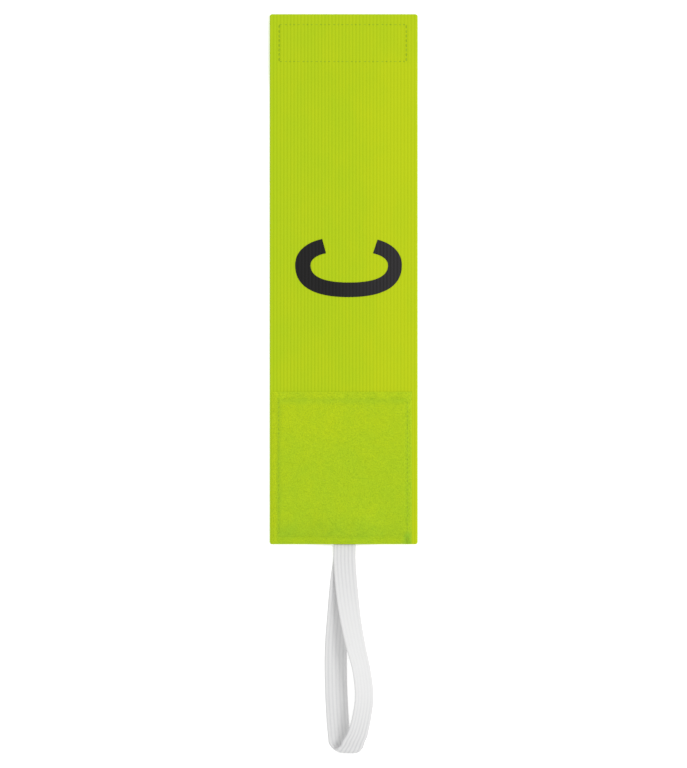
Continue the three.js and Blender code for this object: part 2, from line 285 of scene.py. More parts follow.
def drape(piece, material):
    """Lets a flat layer down over the tape and the tails."""
    run_tree(piece, DRAPE, DRAPE_SIZES | {"Material": material})


# The band: one length of warp-knitted elastic, lime polyester yarn over 43 rubber cords that run its length
# and stand up as ribs on both faces. Its ends are cut square with small round corners.
BAND_THICKNESS = 1.45 * MM
RIB_PITCH = 1.86 * MM
POINTS_PER_RIB = 6
FACE_GROOVE_SHARE = 0.5
BACK_GROOVE_SHARE = 0.25
BAND_EDGE_RADIUS = 0.5 * MM
BAND_CORNER_RADIUS = 1.2 * MM
BAND_STATION_STEP = 2 * MM
KNIT_PITCH = 0.9 * MM
RIB_FULLNESS = 0.6
CORNER_STATIONS = (0, 0.03, 0.12, 0.3, 0.6, 1)


def knitted_elastic():
    """Dyed polyester knit over rubber cords: matt, with rows of slanting stitches and painted shade in the
    grooves.
    """
    material, tree, shader = new_material("knitted_lime_elastic", 0.8, 0.15)
    here = add_node(tree, "ShaderNodeTexCoord").outputs["Object"]
    place = add_node(tree, "ShaderNodeSeparateXYZ", {"Vector": here}).outputs
    crest = crests(tree, place["X"], pi / RIB_PITCH, "COSINE")
    slant = add_node(tree, "ShaderNodeMath", {0: crest, 1: 1.6}, operation="MULTIPLY")
    row = add_node(
        tree, "ShaderNodeMath", {0: place["Y"], 1: 2 * pi / KNIT_PITCH, 2: slant}, operation="MULTIPLY_ADD"
    )
    stitch = add_node(tree, "ShaderNodeMath", {0: row}, operation="SINE")
    fuzz = add_node(
        tree, "ShaderNodeTexNoise", {"Vector": here, "Scale": 1 / (0.35 * MM), "Detail": 4, "Roughness": 0.7}
    )
    height = add_node(tree, "ShaderNodeMath", {0: stitch, 1: 0.35, 2: fuzz}, operation="MULTIPLY_ADD")
    bump = add_node(tree, "ShaderNodeBump", {"Height": height, "Strength": 0.5, "Distance": 0.06 * MM})

    # The colour is a little yellower towards +X, less so over the tape, and a little greener near the -X
    # edge; clouds of the dye run with the cords
    drawn_out = add_node(
        tree, "ShaderNodeMapping", {"Vector": here, "Scale": (1 / (13 * MM), 1 / (26 * MM), 1)}
    )
    clouds = add_node(
        tree, "ShaderNodeTexNoise", {"Vector": drawn_out, "Scale": 1.0, "Detail": 4, "Roughness": 0.6}
    )
    cloud_shift = add_node(
        tree, "ShaderNodeMapRange", {"Value": clouds, 1: 0.35, 2: 0.65, 3: -0.3, 4: 0.3}, clamp=True
    )
    yellowest = add_node(
        tree,
        "ShaderNodeMapRange",
        {"Value": place["Y"], 1: tape_low.y, 2: tape_low.y + 8 * MM, 3: 1.0, 4: 0.5},
    )
    towards_right = add_node(
        tree,
        "ShaderNodeMapRange",
        {"Value": place["X"], 1: 2 * MM, 2: 24 * MM, 3: 0.3, 4: yellowest},
        interpolation_type="SMOOTHSTEP",
    )
    from_left = add_node(
        tree,
        "ShaderNodeMapRange",
        {"Value": place["X"], 1: band_low.x, 2: band_low.x + 8 * MM, 3: -0.3, 4: 0.0},
    )
    warmth = add_node(tree, "ShaderNodeMath", {0: cloud_shift, 1: towards_right}, operation="ADD")
    shade = add_node(tree, "ShaderNodeMath", {0: warmth, 1: from_left}, operation="ADD", use_clamp=True)
    yarn = add_node(
        tree, "ShaderNodeMix", {"Factor": shade, 6: linear("#abc512"), 7: linear("#b5c70f")}, data_type="RGBA"
    ).outputs[2]
    # Painted shade: the grooves between the ribs are painted darker and greener, less so towards +X.
    groove_shade = add_node(
        tree, "ShaderNodeMapRange", {"Value": place["X"], 1: 0.0, 2: 24 * MM, 3: 0.65, 4: 0.35}
    )
    groove_painted_shade = add_node(
        tree, "ShaderNodeMapRange", {"Value": crest, 1: 0.0, 2: 0.6, 3: groove_shade, 4: 0.0}
    )
    colour = add_node(
        tree, "ShaderNodeMix", {"Factor": groove_painted_shade, 6: yarn, 7: linear("#9cb80c")}, data_type="RGBA"
    ).outputs[2]
    link_surface(tree, shader, colour, bump)
    return material


def ribbed_band_tree():
    names = ["Width", "Thickness", "Edge radius", "Rib pitch", "Point step", "Face groove", "Back groove"]
    names += ["Middle", "Half length", "Corner radius", "Corner reach"]
    tree, given = new_tree("ribbed_band", names)

    # The section is a flat rounded bar, whose faces dip between the cords. Its face side has negative Y.
    bar = add_node(
        tree,
        "GeometryNodeCurvePrimitiveQuadrilateral",
        {"Width": given["Width"], "Height": given["Thickness"]},
    )
    rounded = add_node(
        tree,
        "GeometryNodeFilletCurve",
        {"Curve": bar, "Count": 3, "Radius": given["Edge radius"]},
        mode="POLY",
    )
    fine = add_node(
        tree, "GeometryNodeResampleCurve", {"Curve": rounded, "Length": given["Point step"]}, mode="LENGTH"
    )
    here = add_node(tree, "GeometryNodeInputPosition")
    section = add_node(tree, "ShaderNodeSeparateXYZ", {"Vector": here}).outputs
    cords = add_node(tree, "ShaderNodeMath", {0: section["X"], 1: given["Rib pitch"]}, operation="DIVIDE")
    size = crests(tree, cords, pi, "COSINE")
    crest = add_node(tree, "ShaderNodeMath", {0: size, 1: RIB_FULLNESS}, operation="POWER")
    on_back = add_node(tree, "ShaderNodeMath", {0: section["Y"], 1: 0.0}, operation="GREATER_THAN")
    depth = add_node(
        tree, "ShaderNodeMapRange", {"Value": on_back, 3: given["Face groove"], 4: given["Back groove"]}
    )
    dip = add_node(tree, "ShaderNodeMapRange", {"Value": crest, 1: 1.0, 2: 0.0, 3: 0.0, 4: depth})
    left = add_node(tree, "ShaderNodeMath", {0: 1.0, 1: dip}, operation="SUBTRACT")
    dipped = add_node(tree, "ShaderNodeMath", {0: section["Y"], 1: left}, operation="MULTIPLY")
    outline = add_node(tree, "ShaderNodeCombineXYZ", {"X": section["X"], "Y": dipped})
    ribbed = add_node(tree, "GeometryNodeSetPosition", {"Geometry": fine, "Position": outline})

    route = add_node(tree, "GeometryNodeMeshToCurve", {"Mesh": given["Geometry"]})
    swept = add_node(
        tree, "GeometryNodeCurveToMesh", {"Curve": route, "Profile Curve": ribbed, "Fill Caps": True}
    )

    # Near each end the sides come in round the corner, and the cut edge is pressed a little thinner
    place = add_node(tree, "ShaderNodeSeparateXYZ", {"Vector": here}).outputs
    off = distance_from(tree, place["Y"], given["Middle"])
    to_end = add_node(tree, "ShaderNodeMath", {0: given["Half length"], 1: off}, operation="SUBTRACT")
    into = add_node(
        tree, "ShaderNodeMapRange", {"Value": to_end, 1: 0.0, 2: given["Corner radius"], 3: 1.0, 4: 0.0}
    )
    square = add_node(tree, "ShaderNodeMath", {0: into, 1: into}, operation="MULTIPLY")
    rest = add_node(tree, "ShaderNodeMath", {0: 1.0, 1: square}, operation="SUBTRACT")
    arc = add_node(tree, "ShaderNodeMath", {0: rest}, operation="SQRT")
    short = add_node(tree, "ShaderNodeMath", {0: 1.0, 1: arc}, operation="SUBTRACT")
    inset = add_node(tree, "ShaderNodeMath", {0: short, 1: given["Corner radius"]}, operation="MULTIPLY")
    half_width = add_node(tree, "ShaderNodeMath", {0: given["Width"], 1: 0.5}, operation="MULTIPLY")
    corner_start = add_node(
        tree, "ShaderNodeMath", {0: half_width, 1: given["Corner reach"]}, operation="SUBTRACT"
    )
    out = add_node(tree, "ShaderNodeMath", {0: place["X"]}, operation="ABSOLUTE")
    pull = add_node(
        tree, "ShaderNodeMapRange", {"Value": out, 1: corner_start, 2: half_width, 3: 0.0, 4: inset}
    )
    side = add_node(tree, "ShaderNodeMath", {0: place["X"]}, operation="SIGN")
    come_in = add_node(tree, "ShaderNodeMath", {0: out, 1: pull}, operation="SUBTRACT")
    x = add_node(tree, "ShaderNodeMath", {0: come_in, 1: side}, operation="MULTIPLY")
    half_thickness = add_node(tree, "ShaderNodeMath", {0: given["Thickness"], 1: 0.5}, operation="MULTIPLY")
    pressed = add_node(
        tree, "ShaderNodeMapRange", {"Value": to_end, 1: 0.0, 2: given["Edge radius"], 3: 0.65, 4: 1.0}
    )
    z = add_node(
        tree, "ShaderNodeMath", {0: place["Z"], 1: pressed, 2: half_thickness}, operation="MULTIPLY_ADD"
    )
    spot = add_node(tree, "ShaderNodeCombineXYZ", {"X": x, "Y": place["Y"], "Z": z})
    shaped = add_node(tree, "GeometryNodeSetPosition", {"Geometry": swept, "Position": spot})
    return end_tree(tree, shaped, given)


band_elastic = knitted_elastic()
corner_stations = [BAND_CORNER_RADIUS * share for share in CORNER_STATIONS]
inner_count = ceil((band_high.y - band_low.y - 2 * BAND_CORNER_RADIUS) / BAND_STATION_STEP)
inner_step = (band_high.y - band_low.y - 2 * BAND_CORNER_RADIUS) / inner_count
stations = [band_low.y + s for s in corner_stations[:-1]]
stations += [band_low.y + BAND_CORNER_RADIUS + k * inner_step for k in range(inner_count + 1)]
stations += [band_high.y - s for s in reversed(corner_stations[:-1])]

band = new_piece("band_cloth", [(0, y, 0) for y in stations], [(k, k + 1) for k in range(len(stations) - 1)])
run_tree(
    band,
    ribbed_band_tree(),
    {
        "Material": band_elastic,
        "Width": band_width,
        "Thickness": BAND_THICKNESS,
        "Edge radius": BAND_EDGE_RADIUS,
        "Rib pitch": RIB_PITCH,
        "Point step": RIB_PITCH / POINTS_PER_RIB,
        "Face groove": FACE_GROOVE_SHARE,
        "Back groove": BACK_GROOVE_SHARE,
        "Middle": (band_low.y + band_high.y) / 2,
        "Half length": (band_high.y - band_low.y) / 2,
        "Corner radius": BAND_CORNER_RADIUS,
        "Corner reach": 2 * RIB_PITCH,
    },
)
drape(band, band_elastic)
band.data.shade_smooth()
band.data.set_sharp_from_angle(angle=radians(60))
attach(band, "root")
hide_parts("band")


# The pile patch: loop fastener cloth with a brushed velour face, laid on the band's face at the -Y end and
# sewn down all round. The seam pulls it into a groove, and outside the seam it is thin with soft edges.
PATCH_THICKNESS = 1.6 * MM
PATCH_END_INSET = 0.15 * MM
PATCH_BORDER_THICKNESS = 1.0 * MM
PATCH_EDGE_THICKNESS = 0.15 * MM
PATCH_EDGE_SLOPE = 3.0 * MM
SEAM_FROM_LEFT = 3.8 * MM
SEAM_FROM_RIGHT = 2.5 * MM
SEAM_FROM_TOP = 5.0 * MM
SEAM_FROM_BOTTOM = 4.85 * MM
SEAM_DEPTH = 0.3 * MM
SEAM_ROW_SHARE = 0.5
SEAM_HALF_WIDTH = 1.2 * MM
PATCH_GRID_STEP = 0.55 * MM
GRID_CROWDING = 0.55
PILE_WAVE = 0.06 * MM
PILE_WAVE_LENGTHS = (4 * MM, 15 * MM)

patch_low, patch_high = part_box("loop_patch")
patch_low.y = band_low.y + PATCH_END_INSET
patch_seam_low = Vector((patch_low.x + SEAM_FROM_LEFT, patch_low.y + SEAM_FROM_BOTTOM))
patch_seam_high = Vector((patch_high.x - SEAM_FROM_RIGHT, patch_high.y - SEAM_FROM_TOP))


def brushed_pile():
    """Brushed nylon loops: no gloss, a faint sheen, a cloudy nap, and painted light and shade on the face."""
    material, tree, shader = new_material("brushed_lime_pile", 0.95, 0.08)
    shader.inputs["Sheen Weight"].default_value = 0.03
    shader.inputs["Sheen Roughness"].default_value = 0.6
    here = add_node(tree, "ShaderNodeTexCoord").outputs["Object"]
    place = add_node(tree, "ShaderNodeSeparateXYZ", {"Vector": here}).outputs
    loops = add_node(
        tree, "ShaderNodeTexVoronoi", {"Vector": here, "Scale": 1 / (0.42 * MM), "Randomness": 1.0}
    )
    nap = add_node(
        tree, "ShaderNodeTexNoise", {"Vector": here, "Scale": 1 / (1.6 * MM), "Detail": 6, "Roughness": 0.7}
    )
    height = add_node(tree, "ShaderNodeMath", {0: loops, 1: 0.6, 2: nap}, operation="MULTIPLY_ADD")
    bump = add_node(tree, "ShaderNodeBump", {"Height": height, "Strength": 0.4, "Distance": 0.15 * MM})
    clouds = add_node(
        tree, "ShaderNodeTexNoise", {"Vector": here, "Scale": 1 / (11 * MM), "Detail": 6, "Roughness": 0.7}
    )
    cloud_shift = add_node(
        tree, "ShaderNodeMapRange", {"Value": clouds, 1: 0.35, 2: 0.65, 3: -0.3, 4: 0.3}, clamp=True
    )
    # Painted shade: the face is painted darker and greener from 15 mm below its +Y end towards the -Y end.
    # The border left of the seam is painted lighter, as light on its raised slope.
    down = add_node(
        tree,
        "ShaderNodeMapRange",
        {"Value": place["Y"], 1: patch_high.y - 15 * MM, 2: patch_high.y - 45 * MM, 3: 0.3, 4: 0.8},
        interpolation_type="SMOOTHSTEP",
    )
    raised = add_node(
        tree,
        "ShaderNodeMapRange",
        {"Value": place["X"], 1: patch_seam_low.x - 2 * MM, 2: patch_seam_low.x, 3: -0.7, 4: 0.0},
    )
    clouds_and_painted_shade = add_node(tree, "ShaderNodeMath", {0: cloud_shift, 1: down}, operation="ADD")
    clouds_and_painted_light = add_node(tree, "ShaderNodeMath", {0: clouds_and_painted_shade, 1: raised}, operation="ADD", use_clamp=True)
    nap_colour_with_painted_light = add_node(
        tree, "ShaderNodeMix", {"Factor": clouds_and_painted_light, 6: linear("#c0d41b"), 7: linear("#b1cf23")}, data_type="RGBA"
    ).outputs[2]

    # Painted shade: along the seam, where it presses the pile into its groove, and in blotches towards the
    # cut end, the face is painted darker and greener. Between the tufts the colour is painted darker too, as
    # shade.
    aside = distance_from(tree, place["X"], (patch_seam_low.x + patch_seam_high.x) / 2)
    past_side = add_node(
        tree,
        "ShaderNodeMath",
        {0: aside, 1: (patch_seam_high.x - patch_seam_low.x) / 2},
        operation="SUBTRACT",
    )
    up_or_down = distance_from(tree, place["Y"], (patch_seam_low.y + patch_seam_high.y) / 2)
    past_row = add_node(
        tree,
        "ShaderNodeMath",
        {0: up_or_down, 1: (patch_seam_high.y - patch_seam_low.y) / 2},
        operation="SUBTRACT",
    )
    wider_row = add_node(tree, "ShaderNodeMath", {0: past_row, 1: 0.65}, operation="MULTIPLY")
    past_seam = add_node(tree, "ShaderNodeMath", {0: past_side, 1: wider_row}, operation="MAXIMUM")
    off_seam = add_node(tree, "ShaderNodeMath", {0: past_seam}, operation="ABSOLUTE")
    seam_painted_shade = add_node(tree, "ShaderNodeMapRange", {"Value": off_seam, 1: 0.0, 2: 1.8 * MM, 3: 0.3, 4: 0.0})
    inside_seam = add_node(
        tree, "ShaderNodeMapRange", {"Value": past_side, 1: -1 * MM, 2: 2 * MM, 3: 0.7, 4: 0.1}
    )
    at_end = add_node(
        tree,
        "ShaderNodeMapRange",
        {"Value": place["Y"], 1: patch_low.y + 2 * MM, 2: patch_low.y + 5 * MM, 3: 0.1, 4: inside_seam},
    )
    near_end = add_node(
        tree,
        "ShaderNodeMapRange",
        {"Value": place["Y"], 1: patch_low.y + 5 * MM, 2: patch_low.y + 16 * MM, 3: at_end, 4: 0.0},
        interpolation_type="SMOOTHSTEP",
    )
    end_painted_shade = add_node(tree, "ShaderNodeMath", {0: near_end, 1: clouds}, operation="MULTIPLY")
    painted_light_mask = add_node(tree, "ShaderNodeMath", {0: seam_painted_shade, 1: end_painted_shade}, operation="MAXIMUM")

    # The thread runs off over the cut end at the +X corner, and the pile beside it is painted darkest and
    # greenest, as shade where the thread presses it down
    off_thread = distance_from(tree, place["X"], patch_seam_high.x)
    at_corner = add_node(
        tree,
        "ShaderNodeMapRange",
        {"Value": place["Y"], 1: patch_low.y + 5 * MM, 2: patch_low.y + 9 * MM, 3: 1.0, 4: 0.0},
    )
    run_off = add_node(
        tree, "ShaderNodeMapRange", {"Value": off_thread, 1: 0.5 * MM, 2: 3.5 * MM, 3: at_corner, 4: 0.0}
    )
    # Painted shade along the seams, towards the cut end and at the +X corner
    pressed = add_node(tree, "ShaderNodeMath", {0: painted_light_mask, 1: run_off}, operation="MAXIMUM")
    face_colour = add_node(
        tree, "ShaderNodeMix", {"Factor": pressed, 6: nap_colour_with_painted_light, 7: linear("#93c02d")}, data_type="RGBA"
    ).outputs[2]
    # Painted shade: the colour is painted darker between the tufts of the pile
    painted_shade_between_tufts = add_node(tree, "ShaderNodeMapRange", {"Value": loops, 1: 0.25, 2: 0.7, 3: 0.0, 4: 0.5})
    colour = add_node(
        tree,
        "ShaderNodeMix",
        {"Factor": painted_shade_between_tufts, 6: face_colour, 7: linear("#86a715")},
        data_type="RGBA",
    ).outputs[2]
    link_surface(tree, shader, colour, bump)
    return material


def closer_at_ends(low, high, step):
    """Grid lines from low to high, about a step apart in the middle and closer towards both ends."""
    count = ceil((high - low) / step)
    shares = [k / count for k in range(count + 1)]
    return [low + (high - low) * (s - GRID_CROWDING * sin(2 * pi * s) / (2 * pi)) for s in shares]


def patch_height(x, y):
    """Height of the pile's face over the patch's underside."""
    past_x = max(patch_seam_low.x - x, x - patch_seam_high.x)
    past_y = max(patch_seam_low.y - y, y - patch_seam_high.y)
    outside = Vector((max(past_x, 0), max(past_y, 0))).length
    to_seam = outside if outside > 0 else -max(past_x, past_y)
    beyond = min(outside / SEAM_HALF_WIDTH, 1)
    full = PATCH_THICKNESS + (PATCH_BORDER_THICKNESS - PATCH_THICKNESS) * beyond
    to_edge = min(x - patch_low.x, patch_high.x - x, y - patch_low.y, patch_high.y - y)
    slope = 1 - min(max(to_edge, 0) / PATCH_EDGE_SLOPE, 1)
    body = full + (PATCH_EDGE_THICKNESS - full) * slope**2
    depth = SEAM_DEPTH * (SEAM_ROW_SHARE if past_y > past_x else 1)
    groove = depth * exp(-((to_seam / SEAM_HALF_WIDTH) ** 2)) * full / PATCH_THICKNESS
    spot = Vector((x, y, 0))
    wave = PILE_WAVE * sum(noise.noise(spot / length) for length in PILE_WAVE_LENGTHS)
    return body - groove + wave * (1 - slope)


def cloth_slab(name, columns, rows, top, bottom):
    """A closed slab of cloth over a grid, with a height function for each face."""
    width = len(columns)
    vertices = [(x, y, face(x, y)) for face in (bottom, top) for y in rows for x in columns]
    upper = width * len(rows)
    faces = []
    for j in range(len(rows) - 1):
        for i in range(width - 1):
            a, b, c, d = j * width + i, j * width + i + 1, (j + 1) * width + i + 1, (j + 1) * width + i
            faces.append((upper + a, upper + b, upper + c, upper + d))
            faces.append((d, c, b, a))
    rim = list(range(width - 1)) + [j * width + width - 1 for j in range(len(rows) - 1)]
    rim += [(len(rows) - 1) * width + i for i in range(width - 1, 0, -1)]
    rim += [j * width for j in range(len(rows) - 1, 0, -1)]
    for a, b in zip(rim, rim[1:] + rim[:1]):
        faces.append((a, b, upper + b, upper + a))
    return new_piece(name, vertices, faces=faces)


def pile_tree():
    names = ["Loops per area", "Loop half length", "Loop height", "Strand radius"]
    tree, given = new_tree("pile_loops", names)
    spots = add_node(
        tree,
        "GeometryNodeDistributePointsOnFaces",
        {"Mesh": given["Geometry"], "Density": given["Loops per area"], "Seed": 3},
    )
    back = add_node(tree, "ShaderNodeMath", {0: given["Loop half length"], 1: -1.0}, operation="MULTIPLY")
    start = add_node(tree, "ShaderNodeCombineXYZ", {"X": back})
    top = add_node(tree, "ShaderNodeCombineXYZ", {"Z": given["Loop height"]})
    end = add_node(tree, "ShaderNodeCombineXYZ", {"X": given["Loop half length"]})
    arch = add_node(tree, "GeometryNodeCurveQuadraticBezier", {"Start": start, "Middle": top, "End": end})
    bent_once = add_node(tree, "GeometryNodeResampleCurve", {"Curve": arch, "Count": 3}, mode="COUNT")
    strand = add_node(
        tree, "GeometryNodeCurvePrimitiveCircle", {"Resolution": 3, "Radius": given["Strand radius"]}
    )
    pile_loop = add_node(
        tree, "GeometryNodeCurveToMesh", {"Curve": bent_once, "Profile Curve": strand, "Fill Caps": True}
    )
    turn = add_node(
        tree,
        "FunctionNodeRandomValue",
        {0: (-0.3, -0.3, 0.0), 1: (0.3, 0.3, 2 * pi), "Seed": 5},
        data_type="FLOAT_VECTOR",
    )
    planted = add_node(
        tree, "GeometryNodeInstanceOnPoints", {"Points": spots, "Instance": pile_loop, "Rotation": turn}
    )
    return end_tree(tree, planted, given)


patch_pile = brushed_pile()
patch_seat = BAND_THICKNESS + LAYER_GAP / 2
patch = cloth_slab(
    "pile_patch",
    closer_at_ends(patch_low.x, patch_high.x, PATCH_GRID_STEP),
    closer_at_ends(patch_low.y, patch_high.y, PATCH_GRID_STEP),
    top=lambda x, y: patch_seat + patch_height(x, y),
    bottom=lambda x, y: patch_seat,
)
drape(patch, patch_pile)
patch.data.shade_smooth()
patch.data.set_sharp_from_angle(angle=radians(45))

# The brushed loops stand over the whole face. The real cloth has more and finer ones: these are as coarse as
# they need to be to show.
PILE_LOOPS_PER_AREA = 2.2 / MM**2
PILE_LOOP_HALF_LENGTH = 0.32 * MM
PILE_LOOP_HEIGHT = 0.32 * MM
PILE_STRAND_RADIUS = 0.1 * MM
PILE_ROOT_DEPTH = 0.09 * MM
PILE_INSET = 0.5 * MM

pile_columns = closer_at_ends(patch_low.x + PILE_INSET, patch_high.x - PILE_INSET, 2 * PATCH_GRID_STEP)
pile_rows = closer_at_ends(patch_low.y + PILE_INSET, patch_high.y - PILE_INSET, 2 * PATCH_GRID_STEP)
root_seat = patch_seat - PILE_ROOT_DEPTH
pile_roots = [(x, y, root_seat + patch_height(x, y)) for y in pile_rows for x in pile_columns]
pile_faces = [
    (k + i, k + i + 1, k + i + 1 + len(pile_columns), k + i + len(pile_columns))
    for k in range(0, len(pile_roots) - len(pile_columns), len(pile_columns))
    for i in range(len(pile_columns) - 1)
]
pile_loops = new_piece("pile_loops", pile_roots, faces=pile_faces)
run_tree(
    pile_loops,
    pile_tree(),
    {
        "Material": patch_pile,
        "Loops per area": PILE_LOOPS_PER_AREA,
        "Loop half length": PILE_LOOP_HALF_LENGTH,
        "Loop height": PILE_LOOP_HEIGHT,
        "Strand radius": PILE_STRAND_RADIUS,
    },
)
drape(pile_loops, patch_pile)
pile_loops.data.shade_smooth()
for piece in (patch, pile_loops):
    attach(piece, "root")
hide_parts("loop_patch")


# The hook tape: moulded nylon hooks in rows on a thin woven ground with a plain border. It is sewn behind the
# +Y end of the band and lies on its hooks.
TAPE_GROUND = 0.6 * MM
TAPE_BORDER = 2.2 * MM
HOOK_ROW_PITCH = 1.6 * MM
HOOK_RADIUS = 0.26 * MM
HOOK_WIRE_RADIUS = 0.1 * MM
CROOK_ANGLES = (0, 0.8, 1.6, 2.4, 3.2, 4.0)
TAPE_GRID_STEP = 2 * MM


def moulded_nylon():
    """Dyed nylon hooks and woven ground: smooth enough to catch a soft highlight."""
    material, tree, shader = new_material("moulded_lime_nylon", 0.45, 0.5)
    here = add_node(tree, "ShaderNodeTexCoord").outputs["Object"]
    weave = add_node(tree, "ShaderNodeTexChecker", {"Vector": here, "Scale": 1 / (0.4 * MM)}).outputs["Fac"]
    bump = add_node(tree, "ShaderNodeBump", {"Height": weave, "Strength": 0.5, "Distance": 0.05 * MM})
    tint = add_node(tree, "ShaderNodeTexNoise", {"Vector": here, "Scale": 1 / (5 * MM), "Detail": 3})
    colour = add_node(
        tree, "ShaderNodeMix", {"Factor": tint, 6: linear("#9fbb20"), 7: linear("#a9c428")}, data_type="RGBA"
    ).outputs[2]
    link_surface(tree, shader, colour, bump)
    return material


def hook_field_tree():
    tree, given = new_tree("hook_field", ["Wire radius", "Field width", "Field length", "Row pitch"])
    route = add_node(tree, "GeometryNodeMeshToCurve", {"Mesh": given["Geometry"]})
    wire = add_node(
        tree, "GeometryNodeCurvePrimitiveCircle", {"Resolution": 5, "Radius": given["Wire radius"]}
    )
    hook = add_node(
        tree, "GeometryNodeCurveToMesh", {"Curve": route, "Profile Curve": wire, "Fill Caps": True}
    )
    rows = add_node(
        tree, "ShaderNodeMath", {0: given["Field width"], 1: given["Row pitch"]}, operation="DIVIDE"
    )
    hooks_in_row = add_node(
        tree, "ShaderNodeMath", {0: given["Field length"], 1: given["Row pitch"]}, operation="DIVIDE"
    )
    field = add_node(
        tree,
        "GeometryNodeMeshGrid",
        {
            "Size X": given["Field width"],
            "Size Y": given["Field length"],
            "Vertices X": rows,
            "Vertices Y": hooks_in_row,
        },
    )
    lean = add_node(
        tree,
        "FunctionNodeRandomValue",
        {0: (-0.08, -0.08, -0.35), 1: (0.08, 0.08, 0.35), "Seed": 7},
        data_type="FLOAT_VECTOR",
    )
    planted = add_node(
        tree, "GeometryNodeInstanceOnPoints", {"Points": field, "Instance": hook, "Rotation": lean}
    )
    return end_tree(tree, planted, given)


tape_nylon = moulded_nylon()
ground_low = tape_high.z - TAPE_GROUND
ground = cloth_slab(
    "hook_tape_ground",
    closer_at_ends(tape_low.x, tape_high.x, TAPE_GRID_STEP),
    closer_at_ends(tape_low.y, tape_high.y, TAPE_GRID_STEP),
    top=lambda x, y: tape_high.z,
    bottom=lambda x, y: ground_low,
)
ground.data.materials.append(tape_nylon)

# One hook, from its foot down along the stem and round its crook
stem_end = ground_low - 2 * HOOK_RADIUS
crook = [(HOOK_RADIUS * (1 - cos(a)), 0, -stem_end - HOOK_RADIUS * sin(a)) for a in CROOK_ANGLES]
hook_route = [(0, 0, 0), (0, 0, -stem_end / 2)] + crook
hooks = new_piece("hook_field", hook_route, [(k, k + 1) for k in range(len(hook_route) - 1)])
run_tree(
    hooks,
    hook_field_tree(),
    {
        "Material": tape_nylon,
        "Wire radius": HOOK_WIRE_RADIUS,
        "Field width": tape_high.x - tape_low.x - 2 * TAPE_BORDER,
        "Field length": tape_high.y - tape_low.y - 2 * TAPE_BORDER,
        "Row pitch": HOOK_ROW_PITCH,
    },
)
tape_middle = (tape_low + tape_high) / 2
for vertex in hooks.data.vertices:
    vertex.co += Vector((tape_middle.x, tape_middle.y, ground_low))
for piece in (ground, hooks):
    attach(piece, "root")
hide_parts("hook_tape")
hooks.data.shade_smooth()


# The seams: lime polyester thread in a lockstitch, one row round the pile patch and one round the hook tape,
# both through the band, so that each shows on the face and on the back.
STITCH_PITCH = 2.3 * MM
STITCH_LENGTH = 1.8 * MM
THREAD_RADIUS = 0.25 * MM
STITCH_SINK = 0.3 * MM
STITCH_RISE = 0.4 * MM
CROSS_RIB_SINK = 0.22 * MM
PILE_SEAM_SINK = 0.2 * MM
RUN_OFF_INSET = 1 * MM
TAIL_INSET = 1 * MM


def twisted_thread():
    """Spun polyester thread: a little glossier than the cloth, with a twist along each stitch."""
    material, tree, shader = new_material("twisted_lime_thread", 0.6, 0.25)
    here = add_node(tree, "ShaderNodeTexCoord").outputs["Object"]
    twist = add_node(
        tree,
        "ShaderNodeTexWave",
        {"Vector": here, "Scale": 1 / (6 * MM), "Distortion": 1.5},
        bands_direction="DIAGONAL",
    ).outputs["Fac"]
    bump = add_node(tree, "ShaderNodeBump", {"Height": twist, "Strength": 0.5, "Distance": 0.05 * MM})
    colour = add_node(
        tree, "ShaderNodeMix", {"Factor": twist, 6: linear("#8aa811"), 7: linear("#99b619")}, data_type="RGBA"
    ).outputs[2]
    link_surface(tree, shader, colour, bump)
    return material


def stitch_tree():
    tree, given = new_tree("stitch_row", ["Pitch", "Half length", "Thread radius", "Sink", "Rise"])
    route = add_node(tree, "GeometryNodeMeshToCurve", {"Mesh": given["Geometry"]})
    marks = add_node(
        tree, "GeometryNodeResampleCurve", {"Curve": route, "Length": given["Pitch"]}, mode="LENGTH"
    )
    back = add_node(tree, "ShaderNodeMath", {0: given["Half length"], 1: -1.0}, operation="MULTIPLY")
    entry = add_node(tree, "ShaderNodeCombineXYZ", {"X": back, "Z": given["Sink"]})
    top = add_node(tree, "ShaderNodeCombineXYZ", {"Z": given["Rise"]})
    way_out = add_node(tree, "ShaderNodeCombineXYZ", {"X": given["Half length"], "Z": given["Sink"]})
    arch = add_node(
        tree,
        "GeometryNodeCurveQuadraticBezier",
        {"Resolution": 6, "Start": entry, "Middle": top, "End": way_out},
    )
    strand = add_node(
        tree, "GeometryNodeCurvePrimitiveCircle", {"Resolution": 6, "Radius": given["Thread radius"]}
    )
    stitch = add_node(
        tree, "GeometryNodeCurveToMesh", {"Curve": arch, "Profile Curve": strand, "Fill Caps": True}
    )
    along = add_node(tree, "GeometryNodeInputTangent")
    turned = add_node(tree, "FunctionNodeAlignRotationToVector", {"Vector": along}, axis="X", pivot_axis="Z")
    sewn = add_node(
        tree, "GeometryNodeInstanceOnPoints", {"Points": marks, "Instance": stitch, "Rotation": turned}
    )
    return end_tree(tree, sewn, given)


STITCHES = stitch_tree()
seam_thread = twisted_thread()


def sew(name, stretches, facing, draped=True):
    """A row of stitches along each stretch, arching up where facing is 1 and down where it is -1."""
    row = new_piece(
        name, [end for ends in stretches for end in ends], [(2 * k, 2 * k + 1) for k in range(len(stretches))]
    )
    sizes = {
        "Material": seam_thread,
        "Pitch": STITCH_PITCH,
        "Half length": STITCH_LENGTH / 2,
        "Thread radius": THREAD_RADIUS,
        "Sink": -STITCH_SINK * facing,
        "Rise": STITCH_RISE * facing,
    }
    run_tree(row, STITCHES, sizes)
    if draped:
        drape(row, seam_thread)
    row.data.shade_smooth()
    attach(row, "root")


